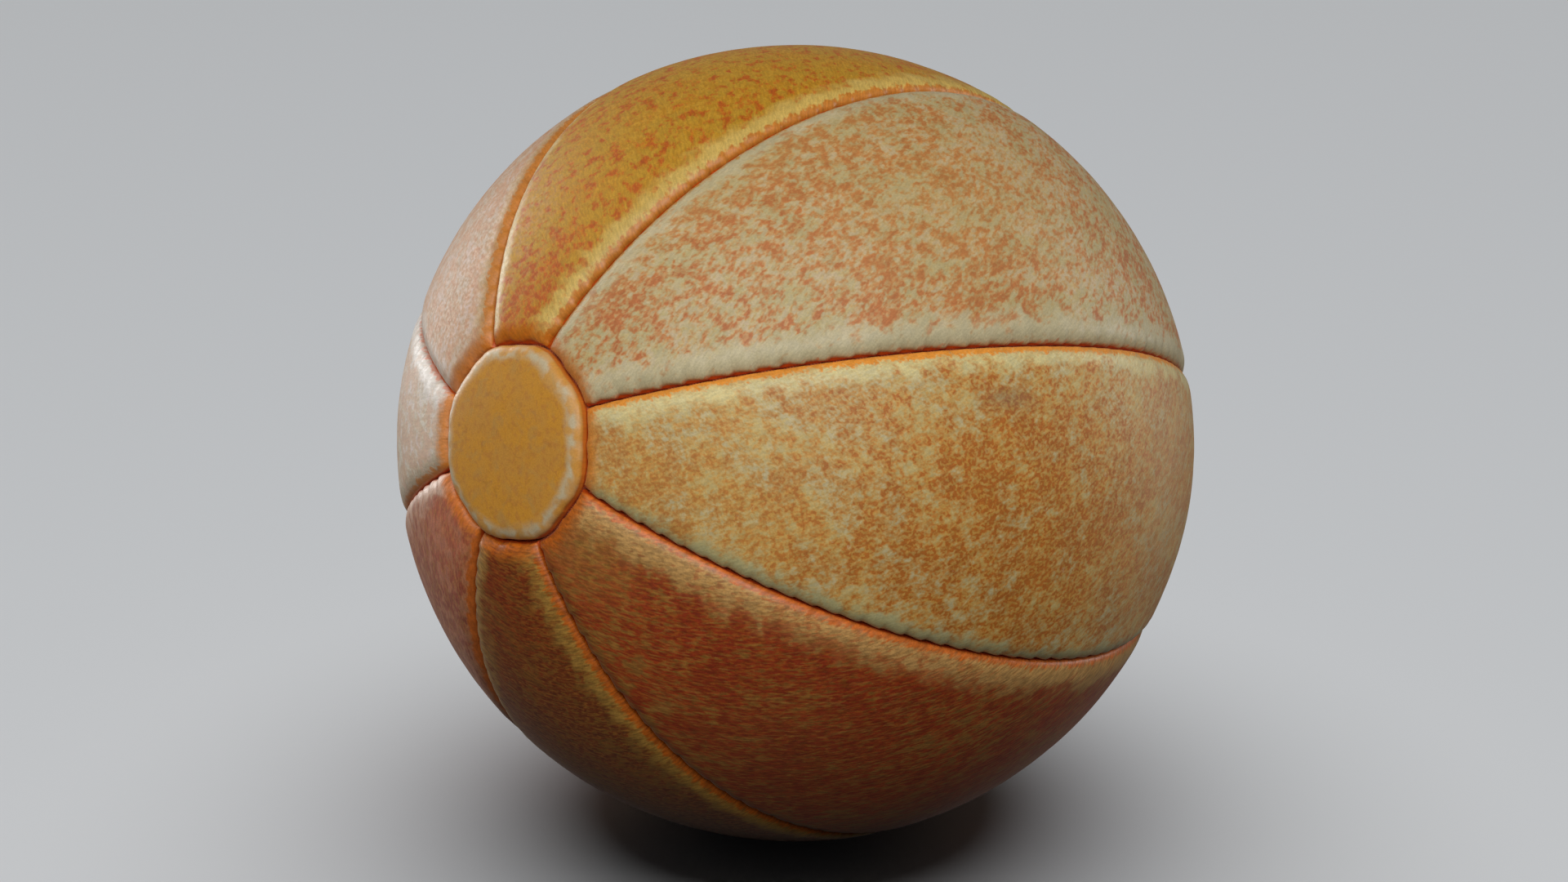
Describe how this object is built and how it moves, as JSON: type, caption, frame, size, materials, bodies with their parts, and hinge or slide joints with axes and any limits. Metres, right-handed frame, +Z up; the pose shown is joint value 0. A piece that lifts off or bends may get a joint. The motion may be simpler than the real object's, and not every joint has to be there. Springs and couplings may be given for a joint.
{
  "type": "playground ball",
  "caption": "Sewn play ball of curved leather gores between two round end caps, canvas-backed, over a rubber bladder with a pull-out valve plug in the rear cap.",
  "frame": {"origin": "centre of the ball", "axes": "+Z up, the ball standing on its pressed flat at -Z; the cap axis lies in the Y-Z plane, the front cap facing -Y and raised 12 degrees, the rear cap and valve facing +Y"},
  "size_m": [0.2158, 0.2154, 0.2146],
  "materials": {
    "gore_1_leather": "worn suede-like leather, grey-cream with rust speckle, satin",
    "gore_2_leather": "worn suede-like leather, golden yellow with rust-red blotches, satin",
    "gore_3_leather": "worn suede-like leather, pale pink-cream, satin",
    "gore_4_leather": "worn suede-like leather, pale cream-pink, satin",
    "gore_5_leather": "worn suede-like leather, rose-mauve, satin",
    "gore_6_leather": "worn suede-like leather, dark olive-rust, satin",
    "gore_7_leather": "worn suede-like leather, deep rust-red with olive-yellow fibre marks, satin",
    "gore_8_leather": "worn suede-like leather, cream-yellow with orange-brown mottling, satin",
    "cap_leather": "worn smooth leather, ochre-orange with a grey-cream rubbed rim, satin",
    "canvas": "unbleached plain-weave canvas, matt",
    "thread": "waxed twisted thread, rust orange, satin",
    "bladder_rubber": "dark butyl rubber with talc bloom, matt",
    "patch_rubber": "red-brown moulded rubber, matt",
    "valve_rubber": "moulded rubber, satin",
    "brass": "tarnished pressed brass",
    "plug_plastic": "aged off-white moulded plastic"
  },
  "bodies": {
    "ball": {"gore_panel_1": "gore_1_leather", "gore_panel_2": "gore_2_leather", "gore_panel_3": "gore_3_leather", "gore_panel_4": "gore_4_leather", "gore_panel_5": "gore_5_leather", "gore_panel_6": "gore_6_leather", "gore_panel_7": "gore_7_leather", "gore_panel_8": "gore_8_leather", "gore_lining_1": "canvas", "gore_lining_2": "canvas", "gore_lining_3": "canvas", "gore_lining_4": "canvas", "gore_lining_5": "canvas", "gore_lining_6": "canvas", "gore_lining_7": "canvas", "gore_lining_8": "canvas", "seam_thread_1": "thread", "seam_thread_2": "thread", "seam_thread_3": "thread", "seam_thread_4": "thread", "seam_thread_5": "thread", "seam_thread_6": "thread", "seam_thread_7": "thread", "seam_thread_8": "thread", "end_cap_front": "cap_leather", "end_cap_rear": "cap_leather", "end_cap_lining_front": "canvas", "end_cap_lining_rear": "canvas", "cap_seam_thread_front": "thread", "cap_seam_thread_rear": "thread", "bladder": "bladder_rubber", "bladder_patch": "patch_rubber", "valve_body": "valve_rubber", "valve_grommet": "brass"},
    "plug": {"valve_plug": "plug_plastic"}
  },
  "joints": [
    {"name": "valve_plug_pull", "type": "slide", "parent": "ball", "child": "plug", "axis": [0, 0.9781, -0.2079], "range_m": [0, 0.02]}
  ]
}
